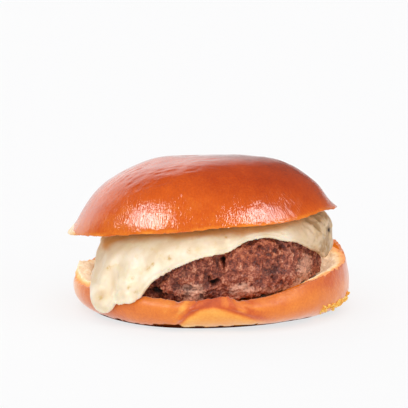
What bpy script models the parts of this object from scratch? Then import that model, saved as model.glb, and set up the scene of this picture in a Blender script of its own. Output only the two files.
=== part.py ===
"""A cheeseburger: bottom bun, thick beef patty, one melted slice of cheese and a domed top bun.

Lengths are in millimetres until the meshes are made in metres. +Z is up, and -Y is the front, where
the cheese runs down over the bottom bun. Every solid is a stack of loops round the burger's axis,
and every loop has its points at the same angles, so neighbours that touch have parallel facets.
"""

import bpy
import numpy as np

MM = 0.001
SEGMENTS = 64
TURN = np.linspace(0, 2 * np.pi, SEGMENTS, endpoint=False)
GAP = 0.4  # left between solids that touch

# Angles round the burger, in degrees, seen from above.
RIGHT, BACK, LEFT, FRONT = 0, 90, 180, 270

# The bottom bun. Its cut edge stands high at the right and back, where it curls up round the filling.
HEEL_RADIUS = 55.2
HEEL_WIDEST = 9.0  # height of its widest loop
HEEL_OUTLINE_RISES = ((LEFT + 45, 28, -2.0), (FRONT, 30, -1.0), (BACK, 35, -1.2))
HEEL_BASE_RADIUS = 44.5
HEEL_BASE_RISES = ((RIGHT - 55, 28, -6.5), (FRONT, 25, -3.0), (RIGHT, 25, 1.5))
HEEL_RIM = 14.6  # height of its cut edge
HEEL_RIM_RISES = ((RIGHT + 29, 29, 9.2), (RIGHT - 24, 28, 4.6), (FRONT + 2, 40, -2.9))
HEEL_RIM_INSET = 1.6  # how far the side leans in from its widest loop to the cut edge
HEEL_INSET_RISES = ((FRONT + 5, 48, 2.2),)
HEEL_CUT_SLOPE = 0.55  # of the crumb, from its edge down to where the patty presses it flat
FOLD_AT, FOLD_SPREAD, FOLD_DEPTH, FOLD_TOP = FRONT, 15, 1.8, 11.0  # shallow tuck in front

# The patty, which sits a little to the front and is thicker there.
PATTY_RADIUS = 43.9
PATTY_CENTRE = (-0.1, -4.4)
PATTY_EDGE = 12.0  # how far in from its side the top and bottom start to round off
PATTY_SQUARENESS = 2.5  # 2 is a round side, more is boxier
PATTY_TOP, PATTY_TOP_ACROSS, PATTY_TOP_ALONG = 33.0, 0.105, -0.085
PATTY_BOTTOM, PATTY_BOTTOM_ACROSS, PATTY_BOTTOM_ALONG = 10.2, 0.065, 0.008
PATTY_OUTLINE_WAVES = ((2, 0.6, 1.9), (3, 0.5, 0.6), (5, 0.5, 2.4), (8, 0.35, 1.2))
PATTY_LUMP = 1.1  # depth of the hollows between the lumps of its side
CLEFT_AT, CLEFT_SPREAD, CLEFT_DEPTH = FRONT + 4, 6, 2.4

# The cheese, and how high its lower edge is at each angle.
CHEESE_THICKNESS = 2.6
CHEESE_BEAD = 1.6  # extra thickness near the end of the longest run
CHEESE_EDGE = (
    (0, 24), (16, 25), (38, 26.5), (68, 20), (90, 27), (126, 18), (160, 27), (180, 27),
    (190, 25), (197, 22.5), (203, 19.4), (209, 16), (213, 8), (217, 5), (221, 4), (226, 6.4),
    (231, 9.2), (235, 9), (238, 11.5), (240, 16), (243, 20), (250, 23.4), (260, 28.4),
    (272, 30.6), (280, 32), (289, 35.4), (300, 35.3), (312, 33.2), (322, 30), (331, 26.4),
    (340, 23.6), (350, 23.8),
)

# The top bun, which leans down to the left and to the back.
CROWN_RADIUS = 52.6
CROWN_CENTRE = (-3.2, -0.6)
CROWN_RIM, CROWN_ACROSS, CROWN_ALONG = 34.4, 0.088, -0.13
CROWN_RIM_RISES = ((RIGHT - 14, 28, 3.0), (RIGHT - 58, 20, -0.9))
CROWN_OUTLINE_WAVES = ((2, 0.4, 0.9), (3, 0.3, 0.2), (4, 0.3, 2.2))
CROWN_HOLLOW = 2.8  # how far the cut face rises inside its edge
DOME_HEIGHT = 26.6
DOME_LEAN = (-5.0, -0.6)  # how far the top of the dome is off the middle of its edge
DOME_POWER, DOME_FULLNESS = 2.6, 0.86  # of the profile (1 - share ** power) ** fullness
DOME_BUMPS = ((-21, 2, 13, 1.4), (-9, 0, 6, -0.6), (12, 8, 15, -0.3))  # x, y, spread, height
PULL_AT, PULL_SPREAD, PULL = RIGHT + 2, 17, 2.0  # the dough is drawn out thin to the edge here

# Viewport colours: red, green and blue, roughness.
HEEL_LOOK = (0.78, 0.33, 0.10, 0.5)
PATTY_LOOK = (0.16, 0.06, 0.035, 0.6)
CHEESE_LOOK = (0.88, 0.78, 0.50, 0.35)
CROWN_LOOK = (0.60, 0.15, 0.03, 0.3)


def wobble(turn, waves):
    """The unevenness of a loop, as a sum of waves: (how many round the loop, size, phase)."""
    return sum(size * np.cos(count * turn + phase) for count, size, phase in waves)


def near(turn, centre, spread):
    """1 at the angle centre, falling smoothly to 0. Centre and spread are in degrees."""
    away = (np.degrees(turn) - centre + 180) % 360 - 180
    return np.exp(-((away / spread) ** 2))


def ease(value):
    """0 below 0, 1 above 1, and a smooth step between them."""
    share = np.clip(value, 0, 1)
    return share * share * (3 - 2 * share)


def rises(turn, bumps):
    """Sum of smooth local changes round a loop: (angle, spread, change)."""
    return sum(change * near(turn, angle, spread) for angle, spread, change in bumps)


def larger(first, second, blend):
    """The larger of two heights, with the corner where they cross rounded off."""
    return (first + second + np.sqrt((first - second) ** 2 + blend**2)) / 2


def smaller(first, second, blend):
    return -larger(-first, -second, blend)


def round_outline(turn, radius, centre):
    """Distance from the axis to a circle that is off centre, at each angle."""
    along = centre[0] * np.cos(turn) + centre[1] * np.sin(turn)
    across = centre[1] * np.cos(turn) - centre[0] * np.sin(turn)
    return along + np.sqrt(radius**2 - across**2)


def tilted(turn, distance, level, rise_across, rise_along):
    """Height of a tilted plane at an angle and a distance from the axis."""
    return level + distance * (rise_across * np.cos(turn) + rise_along * np.sin(turn))


# ---- Bottom bun -------------------------------------------------------------------------------


def heel_rim_height(turn):
    return HEEL_RIM + rises(turn, HEEL_RIM_RISES)


def heel_radius(turn, height):
    """Outside of the bottom bun's side at each height, from the table to its cut edge."""
    widest = HEEL_RADIUS + rises(turn, HEEL_OUTLINE_RISES)
    base = HEEL_BASE_RADIUS + rises(turn, HEEL_BASE_RISES)
    below = 1 - np.clip(height / HEEL_WIDEST, 0, 1)
    above = np.clip((height - HEEL_WIDEST) / (heel_rim_height(turn) - HEEL_WIDEST), 0, 1)
    fold = FOLD_DEPTH * near(turn, FOLD_AT, FOLD_SPREAD) * ease((FOLD_TOP - height) / 3)
    fold = fold * ease(height / 2)
    inset = HEEL_RIM_INSET + rises(turn, HEEL_INSET_RISES)
    return base + (widest - base) * np.sqrt(1 - below**2) - inset * above**2 - fold


def heel_cut_height(turn, distance):
    """The cut face: it slopes down inside its edge, then lies flat where the patty presses it."""
    rim = heel_rim_height(turn)
    slope = rim - HEEL_CUT_SLOPE * (heel_radius(turn, rim) - distance)
    flat = patty_faces(turn, distance)[1] - GAP
    return smaller(larger(slope, flat, 1.2), patty_bottom(turn, distance) - GAP, 0.8)


def heel_loops():
    for lift in np.linspace(0, 90, 6):
        height = HEEL_WIDEST * (1 - np.cos(np.radians(lift)))
        yield loop(heel_radius(TURN, height), height)
    rim = heel_rim_height(TURN)
    for share in (0.5, 1):
        height = HEEL_WIDEST + (rim - HEEL_WIDEST) * share
        yield loop(heel_radius(TURN, height), height)
    edge = heel_radius(TURN, rim)
    patty = patty_outline(TURN)
    for distance in (edge * 0.965, patty + (edge - patty) * 0.4):
        yield loop(distance, heel_cut_height(TURN, distance))
    for lift in (-18, -36, -54, -72, -90):
        distance = patty_side(TURN, lift)[0]
        yield loop(distance, heel_cut_height(TURN, distance))


# ---- Patty ------------------------------------------------------------------------------------


def patty_outline(turn):
    return round_outline(turn, PATTY_RADIUS, PATTY_CENTRE) + wobble(turn, PATTY_OUTLINE_WAVES)


def patty_faces(turn, distance):
    """Heights of the patty's top and bottom faces, before they round off at the side."""
    top = tilted(turn, distance, PATTY_TOP, PATTY_TOP_ACROSS, PATTY_TOP_ALONG)
    bottom = tilted(turn, distance, PATTY_BOTTOM, PATTY_BOTTOM_ACROSS, PATTY_BOTTOM_ALONG)
    return top, bottom


def patty_side(turn, lift, grow=0.0):
    """Distance and height of the patty's rounded side, grown outwards evenly by grow.

    Lift runs from -90 degrees, under the patty, through 0 at its widest to 90 on top of it.
    """
    inner = patty_outline(turn) - PATTY_EDGE
    power = 2 / PATTY_SQUARENESS
    distance = inner + (PATTY_EDGE + grow) * np.cos(np.radians(lift)) ** power
    top, bottom = patty_faces(turn, distance)
    rise = np.sign(lift) * np.abs(np.sin(np.radians(lift))) ** power
    return distance, (top + bottom) / 2 + ((top - bottom) / 2 + grow) * rise


def patty_rounding(turn, distance, grow=0.0):
    """1 on the flat of the patty, falling to 0 at its widest, at a distance from the axis."""
    past = (distance - patty_outline(turn) + PATTY_EDGE) / (PATTY_EDGE + grow)
    return (1 - np.clip(past, 0, 1) ** PATTY_SQUARENESS) ** (1 / PATTY_SQUARENESS)


def patty_bottom(turn, distance):
    top, bottom = patty_faces(turn, distance)
    return (top + bottom) / 2 - (top - bottom) / 2 * patty_rounding(turn, distance)


def patty_hollows(turn, lift):
    """How far the side is drawn in between its lumps, and at the cleft in front."""
    lumps = np.cos(7 * turn + 0.05 * lift) * np.cos(3 * turn - 0.04 * lift + 1)
    cleft = CLEFT_DEPTH * near(turn + 0.0012 * lift, CLEFT_AT, CLEFT_SPREAD)
    return (PATTY_LUMP * (0.5 - 0.5 * lumps) + cleft) * np.cos(np.radians(lift))


def patty_loops():
    flat = patty_outline(TURN) - PATTY_EDGE
    for share in (0.4, 0.75):
        yield loop(flat * share, patty_faces(TURN, flat * share)[1])
    for lift in np.linspace(-90, 90, 11):
        distance, height = patty_side(TURN, lift)
        yield loop(distance - patty_hollows(TURN, lift), height)
    for share in (0.75, 0.4):
        yield loop(flat * share, patty_faces(TURN, flat * share)[0])


# ---- Cheese -----------------------------------------------------------------------------------


def cheese_edge(turn):
    """Height of the cheese's lower edge at each angle, smoothly between the stated angles."""
    angles, heights = np.array(CHEESE_EDGE, float).T
    degrees = np.degrees(turn) % 360
    nearby = [np.interp(degrees + step, angles, heights, period=360) for step in range(-3, 4)]
    return np.mean(nearby, axis=0)


def cheese_top(turn, distance):
    """Upper face of the cheese where it lies on the patty."""
    grow = GAP + CHEESE_THICKNESS
    top, bottom = patty_faces(turn, distance)
    return (top + bottom) / 2 + ((top - bottom) / 2 + grow) * patty_rounding(turn, distance, grow)


def drawn_out(turn, distance, height):
    """Moves points of the hanging cheese out over the bottom bun, in and beside its long runs."""
    rim = heel_rim_height(turn)
    lowest_beside = min(cheese_edge(turn + step) for step in np.radians((-8, -4, 0, 4, 8)))
    bun = heel_radius(turn, np.maximum(height, 3)) + 2 * GAP
    over_rim = ease((rim + 3 - lowest_beside) / 5) * ease((rim + 17 - height) / 17)
    return distance + np.maximum(bun - distance, 0) * over_rim


def cheese_path(turn):
    """The line that the cheese's inside follows at one angle, from the patty's flat top down."""
    over, over_height = patty_side(turn, np.linspace(90, 0, 60), GAP)
    down = np.linspace(over_height[-1], 0, 90)[1:]
    distance = np.concatenate([over, np.full(down.shape, over[-1])])
    height = np.concatenate([over_height, down])
    line = np.column_stack([drawn_out(turn, distance, height), height])
    return line[height >= cheese_edge(turn)]


def spread_along(points, count):
    """Count points at even steps along a line."""
    steps = np.hypot(*np.diff(points, axis=0).T)
    length = np.concatenate([[0], np.cumsum(steps)])
    where = np.linspace(0, length[-1], count)
    return np.column_stack([np.interp(where, length, column) for column in points.T])


def cheese_drape(count):
    """The draped part's inner and outer points and the end's, for every angle."""
    inner, outer, nose = [], [], []
    lowest, highest = min(z for _, z in CHEESE_EDGE), max(z for _, z in CHEESE_EDGE)
    for turn in TURN:
        line = spread_along(cheese_path(turn), count)
        ahead = np.gradient(line, axis=0)
        ahead /= np.hypot(*ahead.T)[:, None]
        outward = np.column_stack([-ahead[:, 1], ahead[:, 0]])
        share = np.linspace(0, 1, count)
        run = (highest - cheese_edge(turn)) / (highest - lowest)
        bead = CHEESE_BEAD * np.exp(-(((share - 0.86) / 0.2) ** 2)) * run
        thick = (CHEESE_THICKNESS * (1 - 0.15 * share) + bead)[:, None]
        thick[-1] *= 0.72
        inner.append(line)
        outer.append(line + outward * thick)
        nose.append(line[-1] + outward[-1] * thick[-1] * 0.5 + ahead[-1] * thick[-1] * 0.45)
    return np.array(inner), np.array(outer), np.array(nose)


def cheese_loops(count=11):
    inner, outer, nose = cheese_drape(count)
    flat = patty_outline(TURN) - PATTY_EDGE
    for share in (0.4, 0.75):
        yield loop(flat * share, cheese_top(TURN, flat * share) - CHEESE_THICKNESS)
    for step in range(count):
        yield loop(*inner[:, step].T)
    yield loop(*nose.T)
    for step in reversed(range(count)):
        yield loop(*outer[:, step].T)
    for share in (0.75, 0.4):
        yield loop(flat * share, cheese_top(TURN, flat * share))


# ---- Top bun ----------------------------------------------------------------------------------


def crown_outline(turn):
    round_edge = round_outline(turn, CROWN_RADIUS, CROWN_CENTRE)
    return round_edge + wobble(turn, CROWN_OUTLINE_WAVES)


def crown_base(turn, distance):
    """The leaning surface through the top bun's edge."""
    share = distance / crown_outline(turn)
    level = tilted(turn, distance, CROWN_RIM, CROWN_ACROSS, CROWN_ALONG)
    return level + rises(turn, CROWN_RIM_RISES) * share**4


def dome_points(turn, share):
    """Points of the dome, from its top at share 0 to its edge at share 1."""
    distance = crown_outline(turn) * share
    rise = (1 - share**DOME_POWER) ** DOME_FULLNESS
    x = distance * np.cos(turn) + DOME_LEAN[0] * rise
    y = distance * np.sin(turn) + DOME_LEAN[1] * rise
    z = crown_base(turn, distance) + DOME_HEIGHT * rise
    for bump_x, bump_y, spread, height in DOME_BUMPS:
        z = z + height * np.exp(-((x - bump_x) ** 2 + (y - bump_y) ** 2) / spread**2)
    pull = near(turn, PULL_AT, PULL_SPREAD) * np.exp(-(((share - 0.95) / 0.05) ** 2))
    return np.column_stack(np.broadcast_arrays(x, y, z - PULL * pull))


def crown_cut_height(turn, distance):
    """The cut face of the top bun, which the cheese presses up."""
    share = distance / crown_outline(turn)
    free = crown_base(turn, distance) + CROWN_HOLLOW * (1 - share**4)
    return larger(free, cheese_top(turn, distance) + GAP, 0.8)


def crown_loops():
    outline = crown_outline(TURN)
    flat = patty_outline(TURN) - PATTY_EDGE
    for share in (0.4, 0.75):
        yield loop(flat * share, crown_cut_height(TURN, flat * share))
    for lift in (90, 72, 54, 36):
        distance = patty_side(TURN, lift, GAP + CHEESE_THICKNESS)[0]
        yield loop(distance, crown_cut_height(TURN, distance))
    yield dome_points(TURN, 1.0)
    for slope in np.linspace(78, 10, 10):
        yield dome_points(TURN, np.sin(np.radians(slope)))


# ---- Meshes -----------------------------------------------------------------------------------


def loop(distance, height):
    """The points of one loop, from its distances from the axis and its heights."""
    height = np.broadcast_to(height, TURN.shape)
    return np.column_stack([distance * np.cos(TURN), distance * np.sin(TURN), height])


def closed_by_centres(loops, low_centre, high_centre):
    """Points and faces of a stack of loops whose first and last are closed by a fan."""
    count = len(loops)
    points = np.vstack([*loops, [low_centre], [high_centre]])
    low, high = count * SEGMENTS, count * SEGMENTS + 1
    faces = []
    for i in range(SEGMENTS):
        j = (i + 1) % SEGMENTS
        faces.append((low, j, i))
        faces.append((high, (count - 1) * SEGMENTS + i, (count - 1) * SEGMENTS + j))
        for k in range(count - 1):
            a, b = k * SEGMENTS, (k + 1) * SEGMENTS
            faces.append((a + i, a + j, b + j, b + i))
    return points, faces


def material(name, look):
    made = bpy.data.materials.new(name)
    made.use_nodes = True
    shader = made.node_tree.nodes["Principled BSDF"]
    shader.inputs["Base Color"].default_value = (*look[:3], 1)
    shader.inputs["Roughness"].default_value = look[3]
    shader.inputs["Metallic"].default_value = 0.0
    return made


def add_solid(name, points, faces, look):
    mesh = bpy.data.meshes.new(name)
    mesh.from_pydata((points * MM).tolist(), [], faces)
    mesh.materials.append(material(name, look))
    mesh.validate()
    mesh.shade_smooth()
    mesh.set_sharp_from_angle(angle=np.radians(50))
    bpy.context.scene.collection.objects.link(bpy.data.objects.new(name, mesh))


def clear_scene():
    for old in list(bpy.data.objects):
        bpy.data.objects.remove(old)


def on_axis(height):
    return (0.0, 0.0, float(height))


def solids():
    """Name, points, faces and look of each of the burger's solids."""
    cheese_middle = float(cheese_top(0, 0))
    yield "heel", heel_loops(), on_axis(0), on_axis(heel_cut_height(0, 0)), HEEL_LOOK
    yield "patty", patty_loops(), on_axis(PATTY_BOTTOM), on_axis(PATTY_TOP), PATTY_LOOK
    under_cheese = on_axis(cheese_middle - CHEESE_THICKNESS)
    yield "cheese", cheese_loops(), under_cheese, on_axis(cheese_middle), CHEESE_LOOK
    dome_middle = dome_points(np.zeros(1), 0.0)[0]
    yield "crown", crown_loops(), on_axis(crown_cut_height(0, 0)), dome_middle, CROWN_LOOK


def build():
    clear_scene()
    made = [
        (name, *closed_by_centres(list(loops), first, last), look)
        for name, loops, first, last, look in solids()
    ]
    everything = np.vstack([points for _, points, _, _ in made])
    middle = (everything.min(axis=0) + everything.max(axis=0)) / 2
    for name, points, faces, look in made:
        add_solid(name, points - (middle[0], middle[1], 0), faces, look)


build()
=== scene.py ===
"""Looks of the cheeseburger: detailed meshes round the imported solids, materials, light and camera.

Lengths are in millimetres round the burger's axis until a mesh is made, in metres, in the frame.
Each piece but the flakes is a dense stack of loops round that axis. It repeats the shape of its CAD
solid and adds the relief that the solid leaves out. Every run gives the same meshes.
"""

import bpy
import numpy as np
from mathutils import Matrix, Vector


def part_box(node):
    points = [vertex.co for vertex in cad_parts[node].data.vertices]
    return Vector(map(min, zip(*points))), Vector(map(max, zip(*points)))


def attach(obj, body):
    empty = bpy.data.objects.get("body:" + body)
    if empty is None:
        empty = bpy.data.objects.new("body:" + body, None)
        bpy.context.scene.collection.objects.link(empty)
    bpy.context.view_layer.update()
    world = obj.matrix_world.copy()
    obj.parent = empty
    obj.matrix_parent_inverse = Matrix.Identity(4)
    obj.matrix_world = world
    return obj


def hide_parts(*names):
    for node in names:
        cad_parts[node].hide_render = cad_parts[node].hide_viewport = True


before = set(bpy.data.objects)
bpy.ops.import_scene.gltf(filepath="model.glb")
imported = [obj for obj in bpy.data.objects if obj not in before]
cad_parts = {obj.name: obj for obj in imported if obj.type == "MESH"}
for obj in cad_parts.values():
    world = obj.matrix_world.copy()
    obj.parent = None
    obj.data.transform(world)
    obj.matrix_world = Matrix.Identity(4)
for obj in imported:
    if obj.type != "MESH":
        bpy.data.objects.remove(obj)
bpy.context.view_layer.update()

MM = 0.001

# Angles round the burger, in degrees, seen from above.
RIGHT, BACK, LEFT, FRONT = 0, 90, 180, 270

# ---- Shape of the solids, with the CAD's own numbers --------------------------------------------

GAP = 0.4

HEEL_RADIUS = 55.2
HEEL_WIDEST = 9.0
HEEL_OUTLINE_RISES = ((LEFT + 45, 28, -2.0), (FRONT, 30, -1.0), (BACK, 35, -1.2))
HEEL_BASE_RADIUS = 44.5
HEEL_BASE_RISES = ((RIGHT - 55, 28, -6.5), (FRONT, 25, -3.0), (RIGHT, 25, 1.5))
HEEL_RIM = 14.6
HEEL_RIM_RISES = ((RIGHT + 29, 29, 9.2), (RIGHT - 24, 28, 4.6), (FRONT + 2, 40, -2.9))
HEEL_RIM_INSET = 1.6
HEEL_INSET_RISES = ((FRONT + 5, 48, 2.2),)
HEEL_CUT_SLOPE = 0.55
FOLD_AT, FOLD_SPREAD, FOLD_DEPTH, FOLD_TOP = FRONT, 15, 1.8, 11.0

PATTY_RADIUS = 43.9
PATTY_CENTRE = (-0.1, -4.4)
PATTY_EDGE = 12.0
PATTY_SQUARENESS = 2.5
PATTY_TOP, PATTY_TOP_ACROSS, PATTY_TOP_ALONG = 33.0, 0.105, -0.085
PATTY_BOTTOM, PATTY_BOTTOM_ACROSS, PATTY_BOTTOM_ALONG = 10.2, 0.065, 0.008
PATTY_OUTLINE_WAVES = ((2, 0.6, 1.9), (3, 0.5, 0.6), (5, 0.5, 2.4), (8, 0.35, 1.2))
PATTY_LUMP = 1.1
CLEFT_AT, CLEFT_SPREAD, CLEFT_DEPTH = FRONT + 4, 6, 2.4

CHEESE_THICKNESS = 2.6
CHEESE_BEAD = 1.6
CHEESE_EDGE = (
    (0, 24), (16, 25), (38, 26.5), (68, 20), (90, 27), (126, 18), (160, 27), (180, 27),
    (190, 25), (197, 22.5), (203, 19.4), (209, 16), (213, 8), (217, 5), (221, 4), (226, 6.4),
    (231, 9.2), (235, 9), (238, 11.5), (240, 16), (243, 20), (250, 23.4), (260, 28.4),
    (272, 30.6), (280, 32), (289, 35.4), (300, 35.3), (312, 33.2), (322, 30), (331, 26.4),
    (340, 23.6), (350, 23.8),
)

CROWN_RADIUS = 52.6
CROWN_CENTRE = (-3.2, -0.6)
CROWN_RIM, CROWN_ACROSS, CROWN_ALONG = 34.4, 0.088, -0.13
CROWN_RIM_RISES = ((RIGHT - 14, 28, 3.0), (RIGHT - 58, 20, -0.9))
CROWN_OUTLINE_WAVES = ((2, 0.4, 0.9), (3, 0.3, 0.2), (4, 0.3, 2.2))
CROWN_HOLLOW = 2.8
DOME_HEIGHT = 26.6
DOME_LEAN = (-5.0, -0.6)
DOME_POWER, DOME_FULLNESS = 2.6, 0.86
DOME_BUMPS = ((-21, 2, 13, 1.4), (-9, 0, 6, -0.6), (12, 8, 15, -0.3))
PULL_AT, PULL_SPREAD, PULL = RIGHT + 2, 17, 2.0

# ---- Relief that only these meshes have ---------------------------------------------------------

# Points round each loop, and loops of each side of the hanging cheese.
HEEL_POINTS, PATTY_POINTS, CHEESE_POINTS, CROWN_POINTS = 620, 860, 560, 620
CHEESE_LOOPS = 62

# The crease in the front of the bottom bun: its height at each angle.
CREASE = ((251, 0.5), (255, 2.6), (260.6, 7.1), (265.5, 9.9), (270.7, 10.8), (276.6, 9.5),
          (281.2, 8.0), (287.4, 5.8), (293, 4.6))

# What the cheese's lower edge adds to the CAD's, between and beside its lobes: angle, spread, rise.
LOBE_RISES = ((219.5, 5, 1.0), (224.5, 2.5, 0.9), (227.4, 1.8, 1.9), (231.5, 4, 1.6))

# How far the crumb shows below the bottom bun's cut edge, or, where negative, how far the crust
# wraps over it: angle, spread, length.
TEARS = ((178, 16, 3.6), (201, 12, 2.2), (222, 8, 0.8), (100, 12, 1.4), (20, 12, -3.4),
         (250, 22, -5.0), (290, 18, -14.0))

# How much wider the bottom bun's edge is toasted, how much its cut edge stands above the CAD's,
# and where the bread swells inside that edge: angle, spread, height, how far in, spread.
TOAST_RISES = ((RIGHT + 5, 25, 1.8), (LEFT + 5, 25, 0.7))
EDGE_RISES = ((FRONT + 2, 8, 2.0), (FRONT + 7.5, 2.5, 0.8), (FRONT + 22, 12, 0.5))
HEEL_SWELLS = (
    (LEFT, 20, 1.8, 6, 3.5), (RIGHT - 47, 24, 1.3, 3.4, 2.6), (RIGHT - 5, 30, 1.2, 4.5, 3.2),
)

# Flakes of torn crust along the bottom bun's lower right.
FLAKE_COUNT, FLAKES_PER_CLUSTER = 120, 6
FLAKE_SEED = 5
FLAKES_FROM, FLAKES_TO = RIGHT - 36, RIGHT - 8
FLAKE_HEIGHT, FLAKE_SPREAD = 5.2, 0.9
FLAKE_SIZES = (0.3, 1.2)

# Holes and hollows in the patty's side: angle, height, half width, half height, depth.
PATTY_HOLES = (
    (275.4, 27.9, 0.8, 1.2, 2.8), (275.8, 26.0, 0.5, 2.1, 2.4), (272.5, 18.7, 1.9, 1.1, 3.2),
    (270.4, 20.4, 0.7, 0.8, 2.0), (273.6, 15.4, 3.0, 2.6, 1.1), (241.2, 13.6, 3.2, 2.2, 3.0),
    (244.5, 12.6, 2.9, 1.1, 2.5), (252.5, 12.6, 2.7, 0.8, 2.3), (263.7, 14.0, 1.3, 1.0, 1.8),
    (306.6, 31.0, 1.0, 1.3, 2.2), (300.3, 19.0, 0.8, 2.0, 1.6), (291.2, 19.1, 1.4, 0.6, 1.4),
    (297.0, 13.4, 3.0, 0.7, 1.6), (318.0, 17.4, 2.7, 0.8, 1.7), (20.0, 20.0, 2.2, 1.4, 2.6),
    (57.0, 15.5, 1.6, 2.6, 3.0), (84.0, 21.0, 2.6, 1.2, 2.4), (118.0, 14.5, 3.2, 1.6, 2.8),
    (150.0, 20.0, 1.3, 2.4, 3.0), (174.0, 15.0, 2.6, 1.5, 2.4),
)

# Patches of the patty's side that reach down or up from a height: angle, spread, share, height,
# softness. Smaller spots of them: angle, spread, share, height, half height.
PALE_BELOW = (
    (326, 13, 1.15, 29, 7), (284, 9, 1.25, 20.5, 5), (261.5, 7.5, 1.15, 21.5, 5),
    (302, 14, 1.1, 18.5, 4),
)
SEARED_ABOVE = ((293, 19, 1.0, 22, 7), (262, 14, 0.4, 20, 8))
PALE_SPOTS, SEARED_SPOTS = ((273.6, 4.5, -1.5, 15.6, 3.0),), ((317, 4.5, 0.7, 24.7, 3.2),)

# Herb and spice specks on the cheese: angle, height, radius.
CHEESE_SPECKS = (
    (251.7, 29.0, 0.9), (241.8, 24.5, 0.8), (221.9, 11.3, 0.6), (234.5, 16.7, 0.6),
    (237.3, 15.5, 0.5), (243.6, 26.2, 0.7), (221.1, 22.0, 0.7), (235.5, 19.9, 0.5),
    (260.3, 32.0, 0.8), (276.9, 36.6, 0.6),
)

# A hole, its inside painted dark as shade, and a dimple in the cheese: angle, height, radius.
CHEESE_HOLE = (344.0, 33.2, 1.1)
CHEESE_DIMPLES = ((221.9, 11.5, 1.3), CHEESE_HOLE)

# How full the cheese's two lobes are: angle, spread, height. Where it is drawn in, or out where
# negative: angle, spread, length, height, half height. What swells at its right end, at a height,
# and beside the fold there, at a distance from the fold. The fold itself: an angle that it passes,
# its height there, how much it falls per degree.
LOBE_SWELLS = ((219.5, 4.5, 1.3), (233.5, 4.0, 0.9))
DRAWN_IN = ((202, 12, 3.8, 22, 5.4), (211, 6, 0.9, 11, 5), (197, 14, -1.9, 30.5, 3.2))
RIGHT_SWELLS = ((353, 17, 2.5, 36.5, 4.2),)
CHEESE_FOLD = (330.8, 35.7, 0.93)
FOLD_SWELLS = ((328, 6, 0.6, -3.8, 1.6), (330, 7, 0.5, 4.6, 1.2))

# A faint ring and a slanting slit in the top bun's crust: x and y, size along each of them.
RING_AT, RING_SIZE = (-11, -39.4), (1.25, 0.95)
SLIT_AT, SLIT_SIZE = (-34.2, -4.8), (0.5, 2.2)

# Radius of the circle that the fine streaks low on the top bun are spread round.
STREAK_RADIUS = 52

# Blisters of the top bun's crust: x, y, radius, height.
BLISTERS = (
    (-10.9, -41.9, 1.1, 0.38), (-4.5, -33.9, 0.5, 0.14), (22.3, -31.5, 0.5, 0.2),
    (20.0, -36.1, 0.5, 0.16), (2.2, -40.2, 0.5, 0.14), (27.1, -33.1, 0.5, 0.16),
    (8.4, -41.7, 0.5, 0.16), (3.6, -46.4, 0.5, 0.14), (30.0, 14.0, 0.6, 0.12),
    (-20.0, 30.0, 0.7, 0.14), (12.0, 38.0, 0.5, 0.1), (-38.0, 12.0, 0.5, 0.1),
)


def noise_cells(cells, seed):
    """A random number from 0 to 1 for each cell of a grid, from its whole-numbered place."""
    x, y, z = np.moveaxis(cells.astype(np.int64), -1, 0)
    mixed = (x * 73856093 ^ y * 19349663 ^ z * 83492791) + seed * 40503 & 0xFFFFFFFF
    mixed = (mixed ^ mixed >> 15) * 0x2C1B3C6D & 0xFFFFFFFF
    mixed = (mixed ^ mixed >> 12) * 0x297A2D39 & 0xFFFFFFFF
    return (mixed ^ mixed >> 15) / 2**32


def noise(points, size, seed):
    """Smooth noise from -1 to 1 that changes over about size millimetres."""
    scaled = points / size
    cell = np.floor(scaled)
    share = scaled - cell
    share = share**3 * (share * (share * 6 - 15) + 10)
    total = 0.0
    for corner in np.ndindex(2, 2, 2):
        weight = np.prod(np.where(corner, share, 1 - share), axis=-1)
        total = total + weight * noise_cells(cell + corner, seed)
    return 2 * total - 1


def layered(points, size, seed, layers=3):
    """Noise with finer and fainter layers on top, from about -1 to 1."""
    steps = range(layers)
    total = sum(0.5**i * noise(points, size * 0.5**i, seed + i) for i in steps)
    return total / sum(0.5**i for i in steps)


def granules(points, size, seed):
    """Scattered cells: distance to the nearest centre, and that cell's random number."""
    scaled = points / size
    base = np.floor(scaled)
    nearest = np.full(points.shape[:-1], 9.0)
    number = np.zeros_like(nearest)
    for step in np.ndindex(3, 3, 3):
        cell = base + np.subtract(step, 1)
        centre = cell + np.stack([noise_cells(cell, seed + i) for i in range(3)], axis=-1)
        away = np.linalg.norm(centre - scaled, axis=-1)
        number = np.where(away < nearest, noise_cells(cell, seed + 3), number)
        nearest = np.minimum(nearest, away)
    return nearest, number


def strands(points, size, seed):
    """Winding ridges near 1, with hollows between them where it falls to 0."""
    return 1 - np.clip(2.4 * np.abs(noise(points, size, seed)), 0, 1)


def stirred(points, reach, seed):
    """Points moved about, so that noise read at them loses the straight lines of its grid."""
    moves = [noise(points, 5, seed + i) + 0.5 * noise(points, 2.2, seed + 4 + i) for i in range(3)]
    return points + reach * np.stack(moves, axis=-1)


def wobble(turn, waves):
    """The unevenness of a loop, as a sum of waves: (how many round the loop, size, phase)."""
    return sum(size * np.cos(count * turn + phase) for count, size, phase in waves)


def peak(value, middle, spread):
    """1 at the middle, falling smoothly to 0 on both sides."""
    return np.exp(-(((value - middle) / spread) ** 2))


def degrees_past(turn, centre):
    """Angle past the centre, from -180 to 180 degrees."""
    return (np.degrees(turn) - centre + 180) % 360 - 180


def near(turn, centre, spread):
    """1 at the angle centre, falling smoothly to 0. Centre and spread are in degrees."""
    return peak(degrees_past(turn, centre), 0, spread)


def ease(value):
    """0 below 0, 1 above 1, and a smooth step between them."""
    share = np.clip(value, 0, 1)
    return share * share * (3 - 2 * share)


def rises(turn, bumps):
    """Sum of smooth local changes round a loop: (angle, spread, change)."""
    return sum(change * near(turn, angle, spread) for angle, spread, change in bumps)


def spots(turn, level, places):
    """Sum of smooth local changes: (angle, spread, change, level, spread across the levels)."""
    return sum(
        change * near(turn, angle, spread) * peak(level, middle, reach)
        for angle, spread, change, middle, reach in places
    )


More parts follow.
